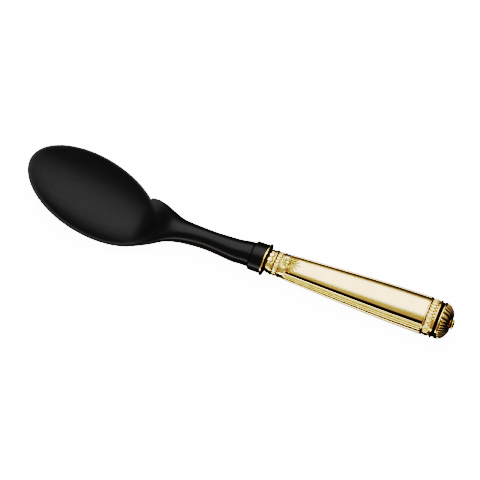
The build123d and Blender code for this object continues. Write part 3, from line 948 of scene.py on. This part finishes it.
pommel = {
    "flutes": 30,
    "flutesBegin": 0.12,       # share of the dome's height where they reach full depth
    "fluteDepth": 0.8,
    "ridgePower": 0.7,         # under one makes the ridges wider than the flutes
    "darkBelow": 0.72,         # of a ridge's height; below it the flutes are painted dark as shade
    "darkSlope": 3,
    "inset": 0.1,
    "skin": 0.15,
    "domeTurn": 1.24,          # how far round its quarter circle the dome goes
    "shrink": 0.76,
    "finialWidth": 3.0,
    "finialThickness": 2.2,
    "finialTurn": 0.9,
    "finialFullness": 0.85,
}


def makeDome():
    start, end = startOf("pommel_dome"), endOf("pommel_dome")
    height = np.sin(np.linspace(0, pommel["domeTurn"], 36))[:, None]
    along = start + (end - start) * height / height[-1]
    shrink = buttWidth * (1 - np.sqrt(1 - height**2)) * pommel["shrink"]
    angle = np.linspace(0, 2 * pi, pommel["flutes"] * 12, endpoint=False)[None, :]
    ridge = np.abs(np.sin(angle * pommel["flutes"] / 2)) ** pommel["ridgePower"]
    fade = smoothStep(0.0, pommel["flutesBegin"], height)
    lift = -(1 - ridge) * pommel["fluteDepth"] * fade - pommel["skin"]
    halfWidth = buttWidth - pommel["inset"] - shrink + lift
    halfThickness = buttThickness - pommel["inset"] - shrink + lift
    side, up = ovalLoop(halfWidth, halfThickness, angle.size)
    # painted shade darkens the flutes' hollows
    recess = np.clip((pommel["darkBelow"] - ridge) * pommel["darkSlope"], 0, 1) * fade
    points = toRow(along * np.ones_like(side), side, up)
    ringCount, pointCount = side.shape
    poles = toRow(np.array([start, end]), np.zeros(2), np.zeros(2))
    points = np.concatenate([points.reshape(-1, 3), poles])
    faces = closedFaces(ringCount, pointCount)
    recess = np.concatenate([recess.ravel(), [0.0, 0.0]])
    makePiece("fluted_dome", points, faces, gilt, ["pommel_dome"], recess)


def makeFinial():
    base = endOf("pommel_dome") - pommel["inset"]
    tip = endOf("finial_button")
    swing = np.linspace(-pommel["finialTurn"], pi / 2 - 0.02, 26)[:, None]
    under = sin(pommel["finialTurn"])
    along = base + (tip - base) * (np.sin(swing) + under) / (1 + under)
    shrink = (1 - np.cos(swing)) * pommel["finialThickness"]
    halfWidth = pommel["finialWidth"] * np.cos(swing) ** pommel["finialFullness"]
    halfThickness = np.maximum(pommel["finialThickness"] - shrink, 0.02)
    angle = np.linspace(0, 2 * pi, 64, endpoint=False)[None, :]
    side = halfWidth * np.cos(angle)
    up = halfThickness * np.sin(angle)
    ringCount, pointCount = side.shape
    points = toRow(along * np.ones_like(side), side, up).reshape(-1, 3)
    poles = toRow(np.array([base, tip]), np.zeros(2), np.zeros(2))
    points = np.concatenate([points, poles])
    faces = closedFaces(ringCount, pointCount)
    makePiece("oval_finial", points, faces, giltLessPaintedShade, ["finial_button"])


makeDome()
makeFinial()
print("pommel made")

# CAD nodes that stay
kept = {"butt_core": chasedGilt, "tang_rod": steel, "handle_filler": cement}
for name, material in kept.items():
    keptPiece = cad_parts[name]
    keptPiece.data.materials.clear()
    keptPiece.data.materials.append(material)

# a light table: a pale board that is lit from under as well, so that it stays white
stage = {"grain": 18.0, "size": 6.0, "glow": 2.3, "dark": "F1F1F0", "light": "F7F7F6"}


def makeFloor():
    material, tree = newMaterial("paintedBoard")
    place = addNode(tree, "ShaderNodeTexCoord").outputs["Object"]
    grain = addNode(tree, "ShaderNodeTexNoise", {"Scale": 1 / (stage["grain"] * mm)}, {"Vector": place})
    stops = [(0.3, linearColour(stage["dark"])), (0.7, linearColour(stage["light"]))]
    colour = addRamp(tree, stops, grain.outputs["Fac"])
    addSurface(tree, {"Roughness": 0.9, "Specular IOR Level": 0.1, "Emission Color": grey(1),
                "Emission Strength": stage["glow"]},
               {"Base Color": colour.outputs["Color"]})
    half = stage["size"] / 2
    mesh = bpy.data.meshes.new("floor")
    corners = [(-half, -half, 0), (half, -half, 0), (half, half, 0), (-half, half, 0)]
    mesh.from_pydata(corners, [], [(0, 1, 2, 3)])
    mesh.materials.append(material)
    floor = bpy.data.objects.new("floor", mesh)
    scene.collection.objects.link(floor)
    floor.visible_glossy = False   # polished metal mirrors the dark room, not the board


makeFloor()

lights = {
    "farSoftbox": {"place": (-0.25, 0.62, 0.95), "size": (1.1, 0.9), "power": 5.4},
    "nearStrip": {"place": (-0.2, -0.9, 0.26), "size": (1.6, 0.45), "power": 6.0},
}
for name, look in lights.items():
    lamp = bpy.data.lights.new(name, "AREA")
    lamp.shape = "RECTANGLE"
    lamp.size, lamp.size_y = look["size"]
    lamp.energy = look["power"]
    lampPiece = bpy.data.objects.new(name, lamp)
    lampPiece.location = look["place"]
    lampPiece.rotation_euler = (-Vector(look["place"])).to_track_quat("-Z", "Y").to_euler()
    scene.collection.objects.link(lampPiece)

world = bpy.data.worlds.new("studio")
scene.world = world
world.use_nodes = True
world.node_tree.nodes.clear()
room = addNode(world.node_tree, "ShaderNodeTexCoord").outputs["Generated"]
rise = addNode(world.node_tree, "ShaderNodeSeparateXYZ", {}, {0: room})
roomShades = [(0.0, grey(0.01)), (0.08, grey(0.03)), (0.5, grey(0.32))]
shade = addRamp(world.node_tree, roomShades, rise.outputs["Z"])
sky = addNode(world.node_tree, "ShaderNodeBackground", {"Strength": 1.0}, {"Color": shade.outputs["Color"]})
addNode(world.node_tree, "ShaderNodeOutputWorld", {}, {"Surface": sky.outputs["Background"]})

view = {"azimuth": 22.812, "elevation": 55.617, "distance": 900.0, "lens": 116.36, "aim": (0.084, 8.79, 0.0),
        "sensor": 36}
azimuth, elevation = radians(view["azimuth"]), radians(view["elevation"])
back = Vector((sin(azimuth) * cos(elevation), -cos(azimuth) * cos(elevation), sin(elevation)))
camera = bpy.data.objects.new("camera", bpy.data.cameras.new("camera"))
camera.data.lens = view["lens"]
camera.data.sensor_width = view["sensor"]
camera.location = (Vector(view["aim"]) + back * view["distance"]) * mm
camera.rotation_euler = back.to_track_quat("Z", "Y").to_euler()
scene.collection.objects.link(camera)
scene.camera = camera

# a catalogue grade: deep blacks, and highlights that roll off towards white
grade = {"white": 3.0, "curve": [(0.05, 0.012), (0.112, 0.054), (0.218, 0.27), (0.304, 0.456), (0.56, 0.638),
                                 (1.09, 0.776), (1.52, 0.847), (2.2, 0.95)]}
look = scene.view_settings
look.view_transform = "Standard"
look.use_curve_mapping = True
look.curve_mapping.white_level = (grade["white"],) * 3
for place, value in grade["curve"]:
    look.curve_mapping.curves[3].points.new(place / grade["white"], value)
look.curve_mapping.update()
print("stage, lights and camera made")
